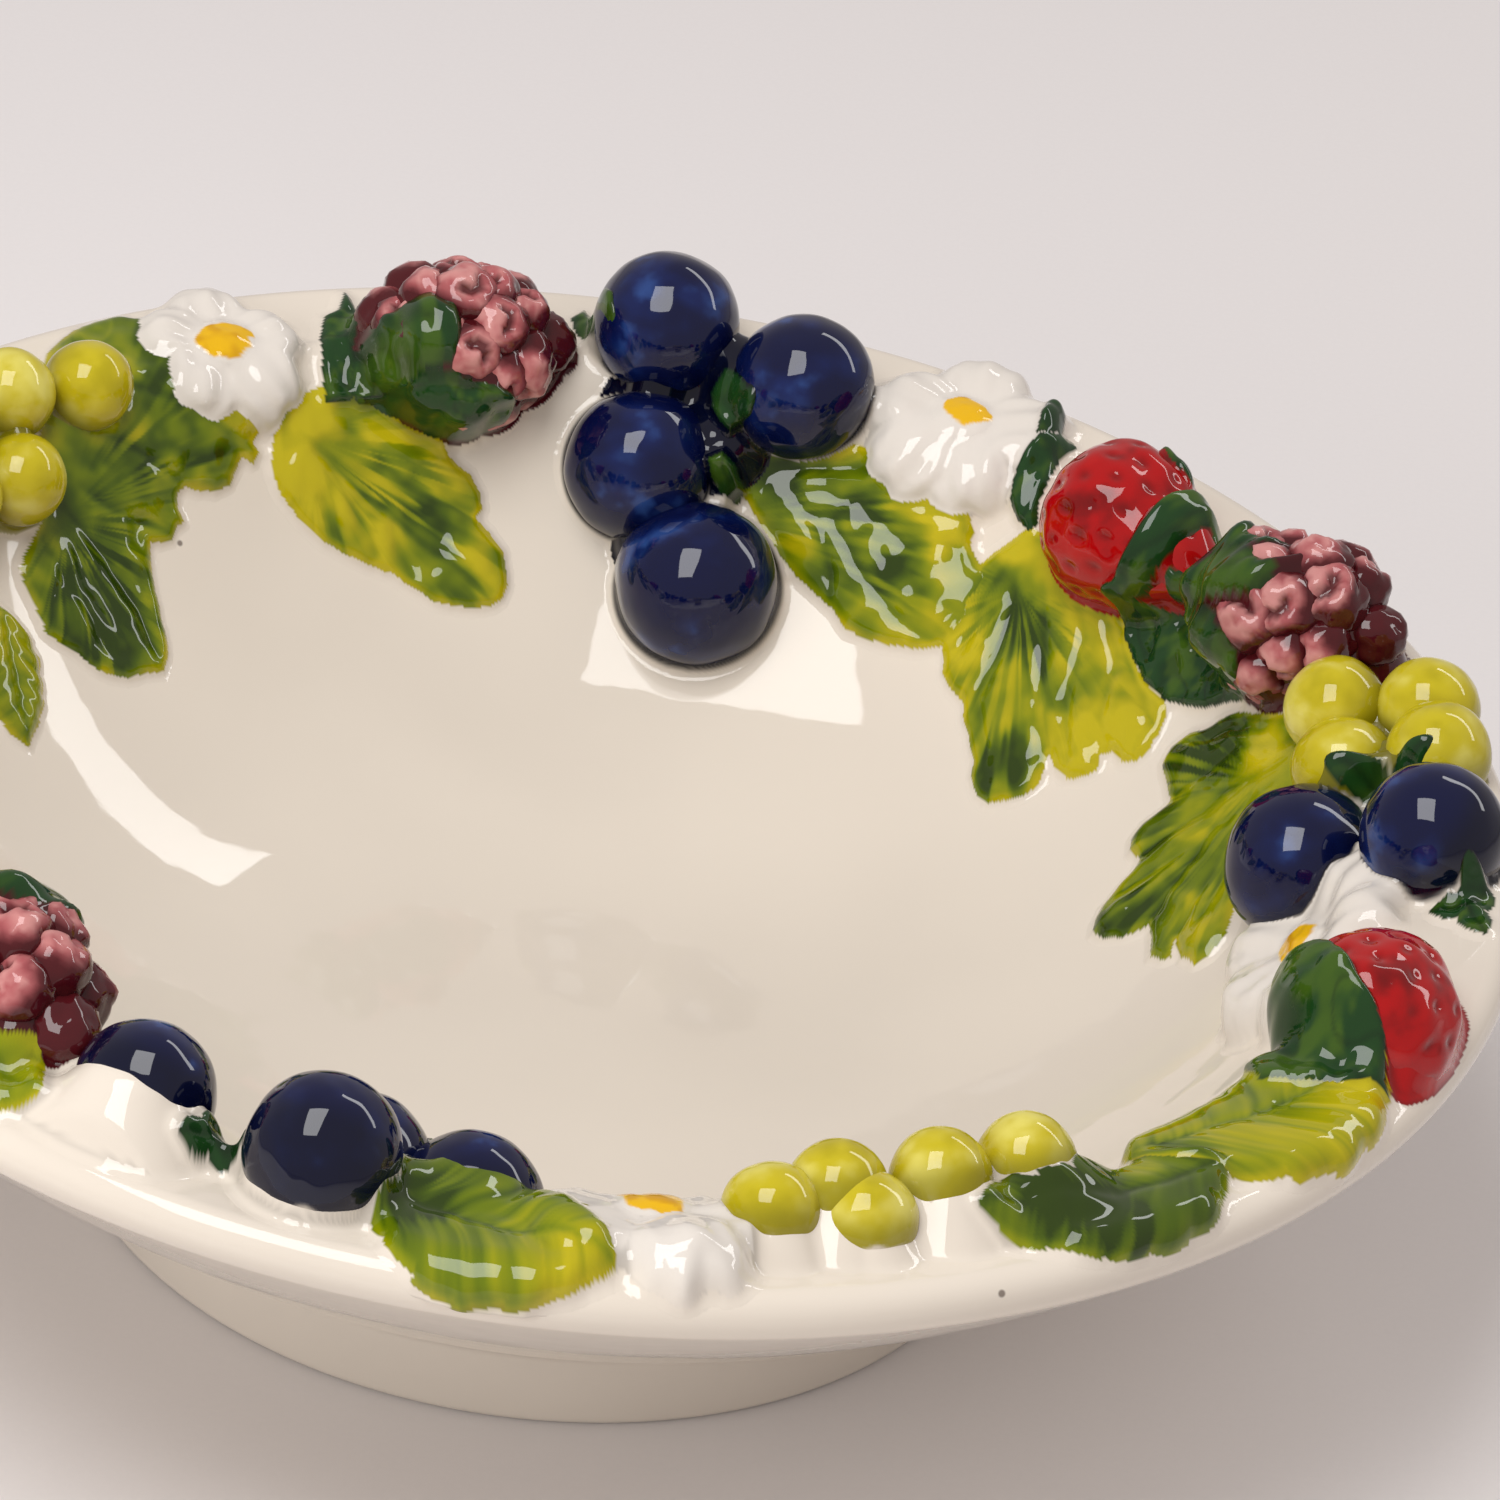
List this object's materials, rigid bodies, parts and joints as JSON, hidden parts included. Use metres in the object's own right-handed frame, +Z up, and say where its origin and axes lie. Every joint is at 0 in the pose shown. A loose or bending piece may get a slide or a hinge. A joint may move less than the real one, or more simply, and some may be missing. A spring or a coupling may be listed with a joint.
{
  "type": "ceramic fruit bowl",
  "caption": "Wide footed ivory earthenware bowl whose rim carries an applied, hand-painted garland of berries, grapes, leaves and white blossoms under a gloss glaze.",
  "frame": {"origin": "centre of the foot ring's standing face, at the base and in the middle of the outline", "axes": "+Z up through the middle of the bowl, +Y towards the back blueberries, +X towards the right grapes"},
  "size_m": [0.3, 0.3, 0.0974],
  "materials": {
    "ivory_glaze": "gloss clear glaze over ivory slip",
    "cobalt_glaze": "gloss clear glaze over painted cobalt",
    "grape_glaze": "gloss clear glaze over painted yellow green",
    "leaf_glaze": "gloss clear glaze over brushed leaf green",
    "dark_green_glaze": "gloss clear glaze over brushed dark green",
    "strawberry_glaze": "gloss clear glaze over painted red",
    "bramble_glaze": "gloss clear glaze over dusty rose with maroon in the creases",
    "blossom_glaze": "gloss clear glaze over white",
    "yellow_glaze": "gloss clear glaze over painted yellow"
  },
  "bodies": {
    "root": {"bowl_body": "ivory_glaze", "foot_ring": "ivory_glaze", "grapes_left": "grape_glaze", "vine_leaf_left": "leaf_glaze", "small_leaf_left": "leaf_glaze", "blossom_back_left_petals": "blossom_glaze", "blossom_back_left_middle": "yellow_glaze", "bramble_back": "bramble_glaze", "bramble_back_sepals": "dark_green_glaze", "leaf_back_left": "leaf_glaze", "blueberries_back": "cobalt_glaze", "blueberries_back_calyxes": "dark_green_glaze", "leaf_back_right": "leaf_glaze", "blossom_back_right_petals": "blossom_glaze", "blossom_back_right_middle": "yellow_glaze", "strawberry_back": "strawberry_glaze", "strawberry_back_sepals": "dark_green_glaze", "lobed_leaf_back": "leaf_glaze", "bramble_right": "bramble_glaze", "bramble_right_sepals": "dark_green_glaze", "grapes_right": "grape_glaze", "vine_leaf_right": "leaf_glaze", "blueberries_right": "cobalt_glaze", "blueberries_right_calyxes": "dark_green_glaze", "blossom_right_petals": "blossom_glaze", "blossom_right_middle": "yellow_glaze", "strawberry_right": "strawberry_glaze", "strawberry_right_sepals": "dark_green_glaze", "leaf_front_right": "leaf_glaze", "leaf_front_dark": "leaf_glaze", "grapes_front": "grape_glaze", "blossom_front_petals": "blossom_glaze", "blossom_front_middle": "yellow_glaze", "leaf_front_serrated": "leaf_glaze", "blueberries_front": "cobalt_glaze", "blueberries_front_calyxes": "dark_green_glaze", "bramble_left": "bramble_glaze", "bramble_left_sepals": "dark_green_glaze", "leaf_front_left": "leaf_glaze", "strawberry_left": "strawberry_glaze", "strawberry_left_sepals": "dark_green_glaze", "blossom_left_petals": "blossom_glaze", "blossom_left_middle": "yellow_glaze", "leaf_left_long": "leaf_glaze", "blueberries_left": "cobalt_glaze", "blueberries_left_calyxes": "dark_green_glaze"}
  },
  "joints": []
}
